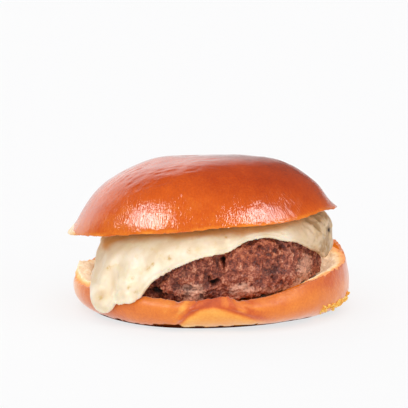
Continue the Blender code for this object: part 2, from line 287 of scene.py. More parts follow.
def mounds(x, y, places):
    """Sum of round bumps: (x, y, spread, height)."""
    return sum(
        height * peak(np.hypot(x - at_x, y - at_y), 0, spread)
        for at_x, at_y, spread, height in places
    )


def larger(first, second, blend):
    """The larger of two heights, with the corner where they cross rounded off."""
    return (first + second + np.sqrt((first - second) ** 2 + blend**2)) / 2


def smaller(first, second, blend):
    return -larger(-first, -second, blend)


def round_outline(turn, radius, centre):
    """Distance from the axis to a circle that is off centre, at each angle."""
    along = centre[0] * np.cos(turn) + centre[1] * np.sin(turn)
    across = centre[1] * np.cos(turn) - centre[0] * np.sin(turn)
    return along + np.sqrt(radius**2 - across**2)


def tilted(turn, distance, level, rise_across, rise_along):
    """Height of a tilted plane at an angle and a distance from the axis."""
    return level + distance * (rise_across * np.cos(turn) + rise_along * np.sin(turn))


def off_axis(points):
    """Distance of each point from the burger's axis."""
    return np.hypot(points[..., 0], points[..., 1])


def angles(count):
    return np.linspace(0, 2 * np.pi, count, endpoint=False)


def column(first, last, count):
    """Even steps from first to last, one per loop, to be combined with angles."""
    return np.linspace(first, last, count)[:, None]


def stacked(turn, *sections):
    """Points of loops given as sections of (distances, heights), and each section's first loop."""
    blocks, starts = [], [0]
    for distance, height in sections:
        distance, height, angle = np.broadcast_arrays(distance, height, turn)
        block = [distance * np.cos(angle), distance * np.sin(angle), height]
        blocks.append(np.stack(block, axis=-1))
        starts.append(starts[-1] + len(distance))
    return np.concatenate(blocks), starts


def soften(points, corner, reach, passes):
    """Rounds off a corner that runs round the piece at one loop."""
    for _ in range(passes):
        part = points[corner - reach - 1 : corner + reach + 2]
        points[corner - reach : corner + reach + 1] = (part[:-2] + 2 * part[1:-1] + part[2:]) / 4
    return points


def normals(points):
    """Outward directions of a stack of loops."""
    around = np.roll(points, -1, axis=1) - np.roll(points, 1, axis=1)
    along = np.gradient(points, axis=0)
    outward = np.cross(around, along)
    return outward / np.maximum(np.linalg.norm(outward, axis=-1, keepdims=True), 1e-9)


def past_loop(points, corner):
    """Length along the surface from the loop at corner, negative before it."""
    steps = np.linalg.norm(np.diff(points, axis=0), axis=-1)
    length = np.concatenate([np.zeros((1, points.shape[1])), np.cumsum(steps, axis=0)])
    return length - length[corner]


def raised(points, height):
    return points + normals(points) * height[..., None]


def crumb_relief(points, pore_size, wave_size, depth, seed):
    """Relief of open crumb, and how deep in one of its pores each place lies, from 0 to 1."""
    pits = ease((0.5 - granules(points, pore_size, seed)[0]) / 0.4)
    return 0.3 * layered(points, wave_size, seed + 10) - depth * pits, pits


# ---- Bottom bun ---------------------------------------------------------------------------------


def heel_rim_height(turn):
    return HEEL_RIM + rises(turn, HEEL_RIM_RISES)


def heel_radius(turn, height):
    """Outside of the bottom bun's side at each height, from the table to its cut edge."""
    widest = HEEL_RADIUS + rises(turn, HEEL_OUTLINE_RISES)
    base = HEEL_BASE_RADIUS + rises(turn, HEEL_BASE_RISES)
    below = 1 - np.clip(height / HEEL_WIDEST, 0, 1)
    above = np.clip((height - HEEL_WIDEST) / (heel_rim_height(turn) - HEEL_WIDEST), 0, 1)
    fold = FOLD_DEPTH * near(turn, FOLD_AT, FOLD_SPREAD) * ease((FOLD_TOP - height) / 3)
    fold = fold * ease(height / 2)
    inset = HEEL_RIM_INSET + rises(turn, HEEL_INSET_RISES)
    return base + (widest - base) * np.sqrt(1 - below**2) - inset * above**2 - fold


def heel_cut_height(turn, distance):
    """The cut face: it slopes down inside its edge, then lies flat where the patty presses it."""
    rim = heel_rim_height(turn)
    slope = rim - HEEL_CUT_SLOPE * (heel_radius(turn, rim) - distance)
    flat = patty_faces(turn, distance)[1] - GAP
    return smaller(larger(slope, flat, 1.2), patty_bottom(turn, distance) - GAP, 0.8)


def heel_stack(turn):
    """Loops of the bottom bun from the middle of its base round to the middle of its cut face."""
    base, rim = heel_radius(turn, 0), heel_rim_height(turn)
    edge, pressed = heel_radius(turn, rim), patty_outline(turn) - PATTY_EDGE
    low = HEEL_WIDEST * (1 - np.cos(np.radians(column(0, 90, 26))))
    high = HEEL_WIDEST + (rim - HEEL_WIDEST) * column(0.05, 1, 20)
    inward = edge + (pressed - edge) * column(0.016, 1, 60)
    middle = pressed * column(0.85, 0.1, 7)
    return stacked(
        turn,
        (base * column(0.08, 0.97, 14), 0.0),
        (heel_radius(turn, low), low),
        (heel_radius(turn, high), high),
        (inward, heel_cut_height(turn, inward)),
        (middle, heel_cut_height(turn, middle)),
    )


def over_crease(turn, height, lead_in, lead_out, past=0):
    """Height above the crease, and 1 along the crease, eased off at its two ends."""
    at, level = np.array(CREASE, float).T
    degrees = np.degrees(turn)
    along = ease((degrees - at[0]) / lead_in) * ease((at[-1] + past - degrees) / lead_out)
    return height - np.interp(degrees, at, level), along


def crease_relief(turn, height):
    """The crease in front: a groove with a soft lip above it and a fainter fold higher up."""
    over, along = over_crease(turn, height, 6, 9)
    groove = -0.34 * peak(over, 0, 1.1) + 0.4 * peak(over, 1.7, 1.1)
    groove = groove - 0.3 * peak(over, 2.9, 0.5) + 0.2 * peak(over, -2.6, 1.5)
    pleats = noise(np.stack([34 * turn + 0.5 * over, 0 * over, 0.3 * over], axis=-1), 1, 24)
    return along * (groove + 0.3 * pleats * ease(over / 1.5))


def heel_edge_lift(turn, inside):
    """How much the cut edge stands above the CAD's, and the bread swells inside it."""
    torn_up = 2.6 * near(turn, LEFT - 4, 14) * ease((inside + 4) / 4) * ease((15 - inside) / 10)
    edge = rises(turn, EDGE_RISES) * peak(inside, 0, 2.4)
    return edge + torn_up + spots(turn, inside, HEEL_SWELLS)


def heel_relief(points, turn, inside, torn, crumb):
    """Relief of the bottom bun's crust and crumb, and how deep in a pore each place lies."""
    skin = 0.3 * layered(points, 15, 21) + 0.06 * layered(points, 2.6, 22, 2)
    skin = skin + crease_relief(turn, points[..., 2])
    bread, pits = crumb_relief(points, 1.5, 2.2, 0.35, 31)
    away, number = granules(points, 3.6, 35)
    bread = bread - 0.9 * ease((0.42 - away) / 0.3) * (number > 0.45)
    bare = np.maximum(torn, 0)
    ragged = bare * peak(inside, -bare / 2, 0.9 + bare / 2)
    bread = bread - 0.25 * ragged * (1 + noise(points, 2.4, 44))
    free = ease((points[..., 2] - 0.2) / 1.2)
    step = 0.45 * peak(inside + torn, 0.3, 0.6) * ease(torn / 2)
    return (skin * (1 - crumb) + bread * crumb) * free - step, pits


def heel_base(points, turn, height):
    """How far each place belongs to the dark base, and how dark it is there: the base's baked brown,
    deepened by painted shade along its lowest edge.
    """
    scorched_and_shaded = 0.9 + 1.5 * near(turn, FRONT, 62) + 0.7 * noise(points, 8, 64)
    ragged = np.maximum(scorched_and_shaded + 0.6 * noise(points, 1.8, 62), 0.3)
    base = ease((ragged - height) / 0.5 + 0.5)
    inward = heel_radius(turn, 0) - off_axis(points)
    paler = 0.45 * ease((inward + 1.5 * noise(points, 4, 65)) / 10) * (height < 0.5)
    return base, base * (1 - paler)


def heel_surface():
    turn = angles(HEEL_POINTS)
    points, starts = heel_stack(turn)
    rim = starts[3] - 1
    points = soften(points, rim, 2, 2)
    inside, height = past_loop(points, rim), points[..., 2]
    torn = rises(turn, TEARS)
    crumb = ease((inside + torn + 0.5 * noise(points, 1.6, 11) + 0.35) / 0.7)
    relief, pits = heel_relief(points, turn, inside, torn, crumb)
    tear = 0.28 * noise(points, 1.3, 51) + 0.45 * noise(points, 4.5, 52)
    points = raised(points, relief)
    points[..., 2] += tear * peak(inside, 0, 1.3) + heel_edge_lift(turn, inside)
    points[..., 2] = np.maximum(points[..., 2], 0)

    base, dark = heel_base(points, turn, height)
    toast_and_shade = 1.7 + 0.6 * noise(points, 3, 61) + rises(turn, TOAST_RISES)
    return points, {
        "crumb": crumb,
        "toast": peak(inside + torn, 0, toast_and_shade),
        "browning": 0.4 + 0.08 * layered(points, 11, 63) + heel_bake_and_painted_light(turn, height),
        "base": dark,
        "matt": np.maximum(base, (inside > 0.8) * (1 - crumb)),
        "covered": (inside > 3) * (off_axis(points) < patty_outline(turn) - 2) * crumb,
        "pits": pits * crumb,
    }


def heel_bake_and_painted_light(turn, height):
    """How much darker or paler the bottom bun's crust is at a place: mostly its bake, with painted
    shade in the crease and a painted sheen at the far left.
    """
    over, along = over_crease(turn, height, 8, 16, 8)
    golden = -0.18 * ease(-over / 1.5) * ease(height / 0.6)
    # Darker along the crease: partly its deeper bake, partly painted shade in the groove.
    line = 0.15 * peak(over, 0.2, 1.0) + 0.22 * peak(over, 1.8, 1.6) * near(turn, FRONT, 11)
    folds = noise(np.stack([16 * turn + 0 * over, 0.7 * over, 0 * over], axis=-1), 1, 67)
    line = line + 0.16 * folds * ease(over)
    reddish = 0.16 * near(turn, RIGHT - 25, 22) * ease((height - 11) / 6)
    pale_foot = -0.16 * near(turn, FRONT - 11, 8) * ease((3.5 - height) / 2) * ease(height / 0.6)
    # A little browner at the front left, and paler at the far left edge: a painted sheen.
    left = 0.08 * near(turn, LEFT + 35, 22) - 0.12 * near(turn, LEFT, 20)
    return along * (golden + line) + pale_foot + reddish + left


def flake_points(random, size):
    """One ragged flake, thinner than it is wide, as loops round its middle."""
    lift = np.radians(column(-65, 65, 4))
    wide = size * np.cos(lift) * random.uniform(0.55, 1.2, (4, 7))
    shape, _ = stacked(angles(7), (wide, 0.4 * size * np.sin(lift)))
    tilt, _ = np.linalg.qr(random.normal(size=(3, 3)))
    return shape @ (tilt * np.linalg.det(tilt))


def flake_places(random):
    """Where the flakes of torn crust cling: in clusters along the bottom bun's lower right."""
    clusters = random.uniform(FLAKES_FROM, FLAKES_TO, FLAKE_COUNT // FLAKES_PER_CLUSTER)
    turn = np.radians(random.choice(clusters, FLAKE_COUNT) + random.normal(0, 1.2, FLAKE_COUNT))
    height = FLAKE_HEIGHT + FLAKE_SPREAD * random.normal(0, 1, FLAKE_COUNT)
    distance = heel_radius(turn, height) + 0.15
    return np.column_stack([distance * np.cos(turn), distance * np.sin(turn), height])


# ---- Patty --------------------------------------------------------------------------------------


def patty_outline(turn):
    return round_outline(turn, PATTY_RADIUS, PATTY_CENTRE) + wobble(turn, PATTY_OUTLINE_WAVES)


def patty_faces(turn, distance):
    """Heights of the patty's top and bottom faces, before they round off at the side."""
    top = tilted(turn, distance, PATTY_TOP, PATTY_TOP_ACROSS, PATTY_TOP_ALONG)
    bottom = tilted(turn, distance, PATTY_BOTTOM, PATTY_BOTTOM_ACROSS, PATTY_BOTTOM_ALONG)
    return top, bottom


def patty_side(turn, lift, grow=0.0):
    """Distance and height of the patty's rounded side, grown outwards evenly by grow.

    Lift runs from -90 degrees, under the patty, through 0 at its widest to 90 on top of it.
    """
    inner = patty_outline(turn) - PATTY_EDGE
    power = 2 / PATTY_SQUARENESS
    cosine = np.maximum(np.cos(np.radians(lift)), 0)
    distance = inner + (PATTY_EDGE + grow) * cosine**power
    top, bottom = patty_faces(turn, distance)
    rise = np.sign(lift) * np.abs(np.sin(np.radians(lift))) ** power
    return distance, (top + bottom) / 2 + ((top - bottom) / 2 + grow) * rise


def patty_rounding(turn, distance, grow=0.0):
    """1 on the flat of the patty, falling to 0 at its widest, at a distance from the axis."""
    past = (distance - patty_outline(turn) + PATTY_EDGE) / (PATTY_EDGE + grow)
    return (1 - np.clip(past, 0, 1) ** PATTY_SQUARENESS) ** (1 / PATTY_SQUARENESS)


def patty_bottom(turn, distance):
    top, bottom = patty_faces(turn, distance)
    return (top + bottom) / 2 - (top - bottom) / 2 * patty_rounding(turn, distance)


def patty_hollows(turn, lift):
    """How far the side is drawn in between its lumps, and at the cleft in front."""
    lumps = np.cos(7 * turn + 0.05 * lift) * np.cos(3 * turn - 0.04 * lift + 1)
    cleft = CLEFT_DEPTH * near(turn + 0.0012 * lift, CLEFT_AT, CLEFT_SPREAD)
    return (PATTY_LUMP * (0.5 - 0.5 * lumps) + cleft) * np.cos(np.radians(lift))


def patty_stack(turn):
    flat = patty_outline(turn) - PATTY_EDGE
    lift = column(-90, 90, 100)
    distance, height = patty_side(turn, lift)
    low, high = flat * column(0.1, 0.9, 5), flat * column(0.9, 0.1, 5)
    return stacked(
        turn,
        (low, patty_faces(turn, low)[1]),
        (distance - patty_hollows(turn, lift), height),
        (high, patty_faces(turn, high)[0]),
    )


def hole_depth(points, turn):
    """Depth of the holes at each place of the patty's side, with ragged edges."""
    shifts = [0.6 * noise(points, 1.5, 135 + i) for i in range(2)]
    total = 0.0
    for at, level, half_width, half_height, depth in PATTY_HOLES:
        across = np.radians(degrees_past(turn, at)) * PATTY_RADIUS
        away = ((across + shifts[0]) / half_width) ** 2
        away = away + ((points[..., 2] - level + shifts[1]) / half_height) ** 2
        total = total + depth * np.exp(-(away**1.3))
    return total


def patches(turn, height, places, upward):
    """Sum of patches that reach from a height upward (1) or downward (-1)."""
    return sum(
        share * near(turn, angle, spread) * ease(upward * (height - end) / softness)
        for angle, spread, share, end, softness in places
    )


def patty_patches(points, turn):
    """Where the patty is seared reddish brown, and where it is paler and pinkish."""
    height = points[..., 2]
    seared = patches(turn, height, SEARED_ABOVE, 1) + spots(turn, height, SEARED_SPOTS)
    pale = patches(turn, height, PALE_BELOW, -1) + spots(turn, height, PALE_SPOTS)
    return seared + 0.4 * layered(points, 7, 151), pale + 0.35 * layered(points, 5, 161)


def patty_surface():
    turn = angles(PATTY_POINTS)
    points, starts = patty_stack(turn)
    loops = np.arange(len(points))[:, None]
    mixed = stirred(points, 1.3, 100)
    big, middle, small = (strands(mixed, size, 111 + i) for i, size in enumerate((4.4, 2.2, 1.1)))
    pressed = ease(0.55 + noise(points, 8, 137)) * (1 - 0.8 * near(turn, 252, 20))
    holes = hole_depth(points, turn)
    relief = 1.0 * (big - 0.5) + (1 - 0.5 * pressed) * (0.9 * (middle - 0.5) + 0.5 * (small - 0.5))
    relief = relief + 0.9 * layered(points, 9, 131) + 0.14 * noise(mixed, 0.8, 141)
    foot = peak(loops, starts[1] + 26, 14) * (1.1 + 0.8 * near(turn, 296, 26))
    relief = np.clip(relief - 0.1, -3, 1.0) + foot - near(turn, 332, 20)
    flat = (loops < starts[1]) | (loops >= starts[2])
    seared, pale = patty_patches(points, turn)
    points = raised(points, np.where(flat, 0.0, relief) - holes)
    # Painted shade: colour darkens in the crevices between the strands and, near black, in the
    # deeper holes.
    crevice = 0.3 * ease((0.35 - big) / 0.4) + 0.45 * ease((0.45 - middle) / 0.5)
    return points, {
        "crevice": (crevice + 0.35 * ease((0.4 - small) / 0.5)) * (1 - 0.5 * pressed),
        "grain": 0.4 * big + 0.35 * middle + 0.25 * small,
        "hollow": ease((holes - 1.2) / 1.5),
        "seared": seared,
        "pale": pale,
    }


# ---- Cheese -------------------------------------------------------------------------------------


def cheese_edge(turn):
    """Height of the cheese's lower edge at each angle, smoothly between the stated angles."""
    stated, heights = np.array(CHEESE_EDGE, float).T
    degrees = np.degrees(turn) % 360
    nearby = [np.interp(degrees + step, stated, heights, period=360) for step in range(-3, 4)]
    return np.mean(nearby, axis=0)


def cheese_top(turn, distance):
    """Upper face of the cheese where it lies on the patty."""
    grow = GAP + CHEESE_THICKNESS
    top, bottom = patty_faces(turn, distance)
    return (top + bottom) / 2 + ((top - bottom) / 2 + grow) * patty_rounding(turn, distance, grow)


def drawn_out(turn, distance, height):
    """Moves points of the hanging cheese out over the bottom bun, in and beside its long runs."""
    rim = heel_rim_height(turn)
    lowest_beside = min(cheese_edge(turn + step) for step in np.radians((-8, -4, 0, 4, 8)))
    bun = heel_radius(turn, np.maximum(height, 3)) + 2 * GAP
    over_rim = ease((rim + 3 - lowest_beside) / 5) * ease((rim + 17 - height) / 17)
    return distance + np.maximum(bun - distance, 0) * over_rim


def cheese_path(turn):
    """The line that the cheese's inside follows at one angle, from the patty's flat top down."""
    over, over_height = patty_side(turn, np.linspace(90, 0, 60), GAP)
    down = np.linspace(over_height[-1], 0, 90)[1:]
    distance = np.concatenate([over, np.full(down.shape, over[-1])])
    height = np.concatenate([over_height, down])
    line = np.column_stack([drawn_out(turn, distance, height), height])
    end = cheese_edge(turn) + rises(turn, LOBE_RISES) + 0.2 * np.sin(23 * turn + 1)
    return line[height >= end]


def spread_along(points, count):
    """Count points at even steps along a line."""
    steps = np.hypot(*np.diff(points, axis=0).T)
    length = np.concatenate([[0], np.cumsum(steps)])
    where = np.linspace(0, length[-1], count)
    return np.column_stack([np.interp(where, length, part) for part in points.T])


def cheese_section(turn, count, reach=9):
    """Inside, rounded end and outside of the draped cheese at one angle."""
    line = spread_along(cheese_path(turn), count)
    ahead = np.gradient(line, axis=0)
    ahead /= np.hypot(*ahead.T)[:, None]
    turned = np.pad(ahead, ((reach, reach), (0, 0)), mode="edge")
    ahead = np.array([turned[i : i + 2 * reach + 1].mean(axis=0) for i in range(count)])
    ahead /= np.hypot(*ahead.T)[:, None]
    outward = np.column_stack([-ahead[:, 1], ahead[:, 0]])
    share = np.linspace(0, 1, count)
    lowest, highest = min(z for _, z in CHEESE_EDGE), max(z for _, z in CHEESE_EDGE)
    run = (highest - cheese_edge(turn)) / (highest - lowest)
    thick = CHEESE_THICKNESS * (1 - 0.15 * share) + CHEESE_BEAD * peak(share, 0.86, 0.2) * run
    thick = thick * (1 - 0.22 * ease((share - 0.93) / 0.07))
    outer = line + outward * thick[:, None]
    half = thick[-1] / 2
    sweep = np.radians(np.linspace(-75, 75, 9))[:, None]
    round_end = outward[-1] * (1 + np.sin(sweep)) + ahead[-1] * np.cos(sweep)
    return np.concatenate([line, line[-1] + half * round_end, outer[::-1]])


def cheese_stack(turn):
    drape = np.array([cheese_section(angle, CHEESE_LOOPS) for angle in turn]).transpose(1, 0, 2)
    flat = patty_outline(turn) - PATTY_EDGE
    low, high = flat * column(0.1, 0.94, 6), flat * column(0.94, 0.1, 6)
    return stacked(
        turn,
        (low, cheese_top(turn, low) - CHEESE_THICKNESS),
        (drape[..., 0], drape[..., 1]),
        (high, cheese_top(turn, high)),
    )


def drawn_in(points, turn):
    """Draws the cheese in where it hangs free on the left, and out close under the top bun."""
    inward = spots(turn, points[..., 2], DRAWN_IN)
    share = 1 - inward / np.maximum(off_axis(points), 20)
    return points * np.stack([share, share, np.ones_like(share)], axis=-1)


def round_spots(turn, height, places):
    """1 in the middle of each spot on the cheese, given as (angle, height, radius)."""
    total = 0.0
    for at, level, radius in places:
        across = np.radians(degrees_past(turn, at)) * HEEL_BASE_RADIUS
        total = total + peak(np.hypot(across, height - level), 0, radius)
    return total


def cheese_fold(turn, height):
    """The fold that slants down the cheese's right end, and what swells beside it."""
    at, level, fall = CHEESE_FOLD
    slant = height - level + fall * (np.degrees(turn) - at)
    fold = peak(slant, 0, 1.7) * near(turn, 331, 5.5)
    beside = spots(turn, height, RIGHT_SWELLS) + spots(turn, slant, FOLD_SWELLS)
    return fold, beside - 0.7 * fold


def cheese_relief(points, turn):
    """Lobes, ripples, bubbles and dimples of the cheese's outside."""
    height = points[..., 2]
    between = near(turn, 226.2 - 0.25 * (height - 13), 2.4) * peak(height, 15, 7)
    lobed = rises(turn, LOBE_SWELLS) - 1.6 * between
    ripples = 0.5 * layered(points * (1, 1, 0.55), 9, 201) + 0.2 * layered(points, 3.2, 205)
    away, number = granules(points, 5.2, 211)
    bubbles = 0.35 * ease((0.34 - away) / 0.3) * (number > 0.72)
    pits = 0.5 * ease((0.2 - away) / 0.16) * (number < 0.22)
    melted = 0.8 + 1.3 * near(turn, 336, 20)
    dimples = 0.8 * round_spots(turn, height, CHEESE_DIMPLES)
    return lobed * ease((30 - height) / 8) + (ripples + bubbles - pits) * melted - dimples


def cheese_specks(points, turn, height):
    """Scattered specks, and the ones at stated places."""
    away, number = granules(points, 2.9, 221)
    scattered = ease((0.2 + 0.1 * noise(points, 1.5, 222) - away) / 0.12) * (number > 0.88)
    return scattered + round_spots(turn, height + 0.3 * noise(points, 1, 223), CHEESE_SPECKS)


def cheese_surface():
    turn = angles(CHEESE_POINTS)
    points, starts = cheese_stack(turn)
    points = drawn_in(points, turn)
    height = points[..., 2]
    past_edge = np.arange(len(points))[:, None] - starts[1] - CHEESE_LOOPS
    outside = ease((past_edge - 4) / 10)
    fold, swollen = cheese_fold(turn, height)
    wrinkles = strands(stirred(points * (1, 1, 0.7), 2.2, 261), 5.5, 235) * near(turn, 341, 17)
    runs = layered(points * (1, 1, 0.3), 3.4, 251)
    swollen = swollen + wrinkles + 0.22 * runs * near(turn, 228, 26)
    points = raised(points, (cheese_relief(points, turn) + swollen) * outside)
    points[..., 2] = np.maximum(points[..., 2], 1.0)

    # Painted shade: a warm brown band on the cheese just under the top bun's edge (contact), darkest
    # in a corner on the left and weaker at the right end.
    under = crown_base(turn, off_axis(points)) - points[..., 2]
    toast_and_shade = near(turn, 209, 5) * ease((height - 26) / 3) - 0.75 * near(turn, 345, 24)
    browned = 0.35 + 1.0 * layered(points, 4, 231) + 0.6 * layered(points, 1.7, 233, 2)
    # Brown mottling at the right end, with painted shade in the fold and in the hollows between the
    # wrinkles.
    mottle_and_fold_shade = near(turn, 337, 15) * browned + 0.9 * fold
    mottle_and_fold_shade = mottle_and_fold_shade + 0.4 * near(turn, 341, 15) * ease((0.7 - wrinkles) / 0.7)
    # Painted shade round the dimple and along the valley between the two lobes.
    valley_shade = peak(height, 12.2, 2.2) * near(turn, 222, 2.0)
    valley_shade = valley_shade + 0.7 * peak(height, 17.5, 4.0) * near(turn, 224.6 - 0.3 * (height - 18), 1.2)
    return points, {
        "contact": ease((4.7 - under - 0.8 * noise(points, 6, 241)) / 2.8) + toast_and_shade,
        "speck": cheese_specks(points, turn, height),
        "mottle_and_fold_shade": mottle_and_fold_shade - 0.25 * runs * near(turn, 222, 18),
        # Tan towards the right end and high on the left.
        "tan_tint": near(turn, 338, 30) + 0.62 * near(turn, 207, 17) * ease((height - 10) / 6),
        "valley_shade": valley_shade,
        "hole": round_spots(turn, height, (CHEESE_HOLE,)),
    }


# ---- Top bun ------------------------------------------------------------------------------------


def crown_outline(turn):
    round_edge = round_outline(turn, CROWN_RADIUS, CROWN_CENTRE)
    return round_edge + wobble(turn, CROWN_OUTLINE_WAVES)


def crown_base(turn, distance):
    """The leaning surface through the top bun's edge."""
    share = distance / crown_outline(turn)
    level = tilted(turn, distance, CROWN_RIM, CROWN_ACROSS, CROWN_ALONG)
    return level + rises(turn, CROWN_RIM_RISES) * share**4


def dome_points(turn, share):
    """Points of the dome, from its top at share 0 to its edge at share 1."""
    distance = crown_outline(turn) * share
    rise = (1 - share**DOME_POWER) ** DOME_FULLNESS
    x = distance * np.cos(turn) + DOME_LEAN[0] * rise
    y = distance * np.sin(turn) + DOME_LEAN[1] * rise
    z = crown_base(turn, distance) + DOME_HEIGHT * rise
    pull = PULL * near(turn, PULL_AT, PULL_SPREAD) * peak(share, 0.95, 0.05)
    return np.stack(np.broadcast_arrays(x, y, z + mounds(x, y, DOME_BUMPS) - pull), axis=-1)


def crown_cut_height(turn, distance):
    """The cut face of the top bun, which the cheese presses up."""
    share = distance / crown_outline(turn)
    free = crown_base(turn, distance) + CROWN_HOLLOW * (1 - share**4)
    return larger(free, cheese_top(turn, distance) + GAP, 0.8)


def crown_stack(turn):
    inward = crown_outline(turn) * np.sin(np.radians(column(6, 86.5, 44)))
    under, starts = stacked(turn, (inward, crown_cut_height(turn, inward)))
    slope = np.sin(np.radians(np.append(np.linspace(90, 72, 34), np.linspace(71.4, 3, 78))))
    return np.concatenate([under, dome_points(turn, slope[:, None])]), starts[1]


def crown_skin(points, turn, up):
    """Relief of the top bun's glazed crust."""
    x, y = points[..., 0], points[..., 1]
    skin = 0.32 * layered(points, 17, 311) + 0.05 * layered(points, 3.0, 315, 2)
    skin = skin + (1.3 + 0.6 * near(turn, RIGHT, 45)) * peak(up, 25, 15)
    skin = skin + mounds(x, y, BLISTERS)
    ring = np.hypot((x - RING_AT[0]) / RING_SIZE[0], (y - RING_AT[1]) / RING_SIZE[1])
    across, along = x - SLIT_AT[0], y - SLIT_AT[1]
    slit = np.hypot((across + 0.6 * along) / SLIT_SIZE[0], along / SLIT_SIZE[1])
    skin = skin - 0.1 * peak(ring, 2.7, 0.8) - 0.3 * peak(slit, 0, 1) * (x < -25)
    wrinkles = noise(points * (0.35, 1.0, 1.0), 1.4, 321)
    wrinkles = wrinkles * ease((noise(points, 14, 322) + 0.1) / 0.7)
    return skin + 0.13 * wrinkles * ease((up - 13) / 10)


def crown_surface():
    turn = angles(CROWN_POINTS)
    points, rim = crown_stack(turn)
    points = soften(points, rim, 2, 3)
    up = past_loop(points, rim)
    skirt = near(turn, LEFT + 1, 16)
    crumb = ease((0.4 * noise(points, 1.5, 301) - up - 1.0 + 5.5 * skirt) / 0.6)
    bread, pits = crumb_relief(points, 1.6, 2.4, 0.4, 331)
    points = raised(points, crown_skin(points, turn, up) * (1 - crumb) + bread * crumb)
    flare = 1.5 * skirt * ease(1 - np.abs(up) / 6)
    points[..., :2] *= 1 + flare[..., None] / CROWN_RADIUS
    tear = 0.22 * noise(points, 1.2, 351) + 0.3 * noise(points, 4.0, 352)
    droop = 1.3 * near(turn, RIGHT - 16, 13)
    points[..., 2] += tear * peak(up, 0, 1.0) - droop * peak(up, 0, 3.5)

    brown = 0.48 + 0.22 * ease(up / 30) + 0.1 * layered(points, 13, 361)
    brown = brown - 0.14 * peak(up, 0.4, 0.7) * (0.5 + noise(points, 5, 362))
    brown = brown + 0.19 * near(turn, RIGHT - 26, 42) * ease((up + 2) / 8)
    around = STREAK_RADIUS * np.stack([np.cos(turn), np.sin(turn)], axis=-1)
    around = np.broadcast_to(around, (*up.shape, 2))
    return points, {
        "crumb": crumb,
        "toast": peak(up, 0, 1.8) * (1 - 0.8 * skirt),
        "browning": brown,
        "base": 0 * up,
        "pits": pits * crumb,
        "streaked": ease((34 - up) / 18) * (up > 0),
        "streak": np.concatenate([around, 0.16 * up[..., None]], axis=-1),
    }


# ---- Meshes -------------------------------------------------------------------------------------


def axis_place():
    """Where the burger's axis stands in the frame, from the top bun's box."""
    edge = dome_points(angles(64), np.array(1.0))
    low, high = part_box("crown")
    middle = (low + high) / 2
    return np.array([middle.x, middle.y, 0]) / MM - np.append(
        (edge[:, :2].min(axis=0) + edge[:, :2].max(axis=0)) / 2, 0
    )


def loop_faces(loops, count):
    """Faces between neighbouring loops, and fans that close the first and the last one."""
    here = np.arange(count)
    beside = np.roll(here, -1)
    rows = np.arange(loops - 1)[:, None] * count
    walls = np.stack([rows + here, rows + beside, rows + count + beside, rows + count + here], -1)
    first, last = loops * count, loops * count + 1
    top = (loops - 1) * count
    fans = [(first, j, i) for i, j in zip(here.tolist(), beside.tolist())]
    fans += [(last, top + i, top + j) for i, j in zip(here.tolist(), beside.tolist())]
    return walls.reshape(-1, 4).tolist() + fans


def with_ends(values):
    """Per-point values of all loops, with those of the two middles added."""
    ends = [values[0].mean(axis=0), values[-1].mean(axis=0)]
    return np.concatenate([values.reshape(-1, *values.shape[2:]), ends])


def add_values(mesh, name, values):
    """Stores one number from 0 to 1, or three of any size, per point for a material to read."""
    flat = with_ends(values if values.ndim == 3 else np.clip(values, 0, 1)).astype(np.float32)
    kind, slot = ("FLOAT_VECTOR", "vector") if flat.ndim == 2 else ("FLOAT", "value")
    mesh.attributes.new(name, kind, "POINT").data.foreach_set(slot, flat.ravel())


def new_mesh(name, points, faces, materials):
    mesh = bpy.data.meshes.new(name)
    mesh.from_pydata(points, [], faces)
    for material in materials:
        mesh.materials.append(material)
    return mesh


def placed(name, data):
    """A new object in the scene."""
    made = bpy.data.objects.new(name, data)
    bpy.context.scene.collection.objects.link(made)
    return made


def in_frame(points):
    """Points given from the burger's axis in millimetres, as the frame has them."""
    return ((points + axis_place()) * MM).tolist()


def add_piece(name, node, surface, materials, masks=()):
    """One closed piece that stands for a CAD node. Masks say where its further materials go."""
    points, values = surface
    shape = points.shape[:2]
    mesh = new_mesh(name, in_frame(with_ends(points)), loop_faces(*shape), materials)
    for value_name, numbers in values.items():
        add_values(mesh, value_name, np.broadcast_to(numbers, shape + numbers.shape[2:]))
    index = np.zeros(len(mesh.polygons), int)
    for number, mask in enumerate(masks, 1):
        shown = with_ends(values[mask])
        share = [shown[list(face.vertices)].mean() for face in mesh.polygons]
        index[np.array(share) > 0.5] = number
    mesh.polygons.foreach_set("material_index", index.tolist())
    mesh.shade_smooth()
    piece = placed(name, mesh)
    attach(piece, "root")
    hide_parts(node)


def add_flakes(name, material):
    """All flakes, as one joined mesh."""
    random = np.random.default_rng(FLAKE_SEED)
    points, faces = [], []
    for place in flake_places(random):
        shape = with_ends(flake_points(random, random.uniform(*FLAKE_SIZES)))
        faces += [[len(points) + corner for corner in face] for face in loop_faces(4, 7)]
        points += in_frame(shape + place)
    piece = placed(name, new_mesh(name, points, faces, [material]))
    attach(piece, "root")


# ---- Materials ----------------------------------------------------------------------------------


def srgb(red, green, blue):
    """Linear colour of an sRGB colour given from 0 to 255."""
    values = np.array([red, green, blue]) / 255
    linear = np.where(values <= 0.04045, values / 12.92, ((values + 0.055) / 1.055) ** 2.4)
    return (*linear.tolist(), 1.0)


